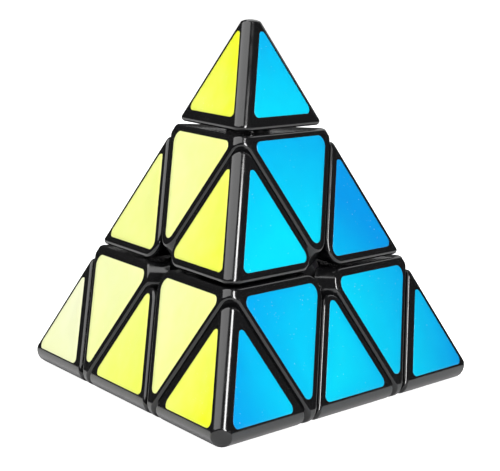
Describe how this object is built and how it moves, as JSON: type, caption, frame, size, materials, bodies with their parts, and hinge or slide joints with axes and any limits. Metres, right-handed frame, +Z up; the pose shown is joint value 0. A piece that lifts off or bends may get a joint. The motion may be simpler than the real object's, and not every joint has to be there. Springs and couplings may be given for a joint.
{
  "type": "pyramid twisty puzzle",
  "caption": "Triangular pyramid twisty puzzle with turning corner layers and separately turning tips, black moulded pieces and coloured vinyl stickers.",
  "frame": {"origin": "middle of the core, where the four turning axes cross", "axes": "+Z up through the top corner, the front corner towards -Y, the left corner towards -X and +Y, the right corner towards +X and +Y"},
  "size_m": [0.0978, 0.0852, 0.0804],
  "materials": {
    "black_plastic": "satin black moulded plastic",
    "core_plastic": "plain black moulded plastic",
    "foot_plastic": "plain black moulded plastic",
    "screw_steel": "zinc-plated steel",
    "spring_steel": "bright spring wire",
    "yellow_vinyl": "glossy lemon yellow vinyl",
    "blue_vinyl": "glossy sky blue vinyl",
    "green_vinyl": "glossy green vinyl",
    "red_vinyl": "glossy red vinyl"
  },
  "bodies": {
    "core": {"core": "core_plastic", "axis_screws": "screw_steel", "axis_washers": "screw_steel", "axis_springs": "spring_steel"},
    "layer_top": {"centre_top": "black_plastic", "sticker_yellow_centre_top": "yellow_vinyl", "sticker_blue_centre_top": "blue_vinyl", "sticker_green_centre_top": "green_vinyl"},
    "layer_front": {"centre_front": "black_plastic", "sticker_yellow_centre_front": "yellow_vinyl", "sticker_blue_centre_front": "blue_vinyl", "sticker_red_centre_front": "red_vinyl"},
    "layer_left": {"centre_left": "black_plastic", "sticker_yellow_centre_left": "yellow_vinyl", "sticker_green_centre_left": "green_vinyl", "sticker_red_centre_left": "red_vinyl"},
    "layer_right": {"centre_right": "black_plastic", "sticker_blue_centre_right": "blue_vinyl", "sticker_green_centre_right": "green_vinyl", "sticker_red_centre_right": "red_vinyl"},
    "tip_top": {"tip_top": "black_plastic", "sticker_yellow_tip_top": "yellow_vinyl", "sticker_blue_tip_top": "blue_vinyl", "sticker_green_tip_top": "green_vinyl"},
    "tip_front": {"tip_front": "black_plastic", "sticker_yellow_tip_front": "yellow_vinyl", "sticker_blue_tip_front": "blue_vinyl", "sticker_red_tip_front": "red_vinyl"},
    "tip_left": {"tip_left": "black_plastic", "sticker_yellow_tip_left": "yellow_vinyl", "sticker_green_tip_left": "green_vinyl", "sticker_red_tip_left": "red_vinyl"},
    "tip_right": {"tip_right": "black_plastic", "sticker_blue_tip_right": "blue_vinyl", "sticker_green_tip_right": "green_vinyl", "sticker_red_tip_right": "red_vinyl"},
    "edge_top_front": {"edge_top_front": "black_plastic", "foot_top_front": "foot_plastic", "sticker_yellow_edge_top_front": "yellow_vinyl", "sticker_blue_edge_top_front": "blue_vinyl"},
    "edge_top_left": {"edge_top_left": "black_plastic", "foot_top_left": "foot_plastic", "sticker_yellow_edge_top_left": "yellow_vinyl", "sticker_green_edge_top_left": "green_vinyl"},
    "edge_top_right": {"edge_top_right": "black_plastic", "foot_top_right": "foot_plastic", "sticker_blue_edge_top_right": "blue_vinyl", "sticker_green_edge_top_right": "green_vinyl"},
    "edge_front_left": {"edge_front_left": "black_plastic", "foot_front_left": "foot_plastic", "sticker_yellow_edge_front_left": "yellow_vinyl", "sticker_red_edge_front_left": "red_vinyl"},
    "edge_front_right": {"edge_front_right": "black_plastic", "foot_front_right": "foot_plastic", "sticker_blue_edge_front_right": "blue_vinyl", "sticker_red_edge_front_right": "red_vinyl"},
    "edge_left_right": {"edge_left_right": "black_plastic", "foot_left_right": "foot_plastic", "sticker_green_edge_left_right": "green_vinyl", "sticker_red_edge_left_right": "red_vinyl"}
  },
  "joints": [
    {"name": "turn_layer_top", "type": "hinge", "parent": "core", "child": "layer_top", "pos_m": [0, 0, 0], "axis": [0, 0, 1], "range_deg": [-120, 240]},
    {"name": "turn_layer_front", "type": "hinge", "parent": "core", "child": "layer_front", "pos_m": [0, 0, 0], "axis": [0, -0.9428, -0.3333], "range_deg": [-120, 240]},
    {"name": "turn_layer_left", "type": "hinge", "parent": "core", "child": "layer_left", "pos_m": [0, 0, 0], "axis": [-0.8165, 0.4714, -0.3333], "range_deg": [-120, 240]},
    {"name": "turn_layer_right", "type": "hinge", "parent": "core", "child": "layer_right", "pos_m": [0, 0, 0], "axis": [0.8165, 0.4714, -0.3333], "range_deg": [-120, 240]},
    {"name": "turn_tip_top", "type": "hinge", "parent": "layer_top", "child": "tip_top", "pos_m": [0, 0, 0], "axis": [0, 0, 1], "range_deg": [-180, 180]},
    {"name": "turn_tip_front", "type": "hinge", "parent": "layer_front", "child": "tip_front", "pos_m": [0, 0, 0], "axis": [0, -0.9428, -0.3333], "range_deg": [-180, 180]},
    {"name": "turn_tip_left", "type": "hinge", "parent": "layer_left", "child": "tip_left", "pos_m": [0, 0, 0], "axis": [-0.8165, 0.4714, -0.3333], "range_deg": [-180, 180]},
    {"name": "turn_tip_right", "type": "hinge", "parent": "layer_right", "child": "tip_right", "pos_m": [0, 0, 0], "axis": [0.8165, 0.4714, -0.3333], "range_deg": [-180, 180]},
    {"name": "ride_edge_top_front", "type": "hinge", "parent": "layer_top", "child": "edge_top_front", "pos_m": [0, 0, 0], "axis": [0, -0.9428, -0.3333], "range_deg": [-120, 240]},
    {"name": "ride_edge_top_left", "type": "hinge", "parent": "layer_top", "child": "edge_top_left", "pos_m": [0, 0, 0], "axis": [-0.8165, 0.4714, -0.3333], "range_deg": [-120, 240]},
    {"name": "ride_edge_top_right", "type": "hinge", "parent": "layer_right", "child": "edge_top_right", "pos_m": [0, 0, 0], "axis": [0, 0, 1], "range_deg": [-120, 240]},
    {"name": "ride_edge_front_left", "type": "hinge", "parent": "layer_left", "child": "edge_front_left", "pos_m": [0, 0, 0], "axis": [0, -0.9428, -0.3333], "range_deg": [-120, 240]},
    {"name": "ride_edge_front_right", "type": "hinge", "parent": "layer_right", "child": "edge_front_right", "pos_m": [0, 0, 0], "axis": [0, -0.9428, -0.3333], "range_deg": [-120, 240]},
    {"name": "ride_edge_left_right", "type": "hinge", "parent": "layer_left", "child": "edge_left_right", "pos_m": [0, 0, 0], "axis": [0.8165, 0.4714, -0.3333], "range_deg": [-120, 240]}
  ],
  "couplings": [
    {"joint": "ride_edge_top_front", "follows": "turn_layer_front", "ratio": 1},
    {"joint": "ride_edge_top_left", "follows": "turn_layer_left", "ratio": 1},
    {"joint": "ride_edge_top_right", "follows": "turn_layer_top", "ratio": 1},
    {"joint": "ride_edge_front_left", "follows": "turn_layer_front", "ratio": 1},
    {"joint": "ride_edge_front_right", "follows": "turn_layer_front", "ratio": 1},
    {"joint": "ride_edge_left_right", "follows": "turn_layer_right", "ratio": 1}
  ]
}
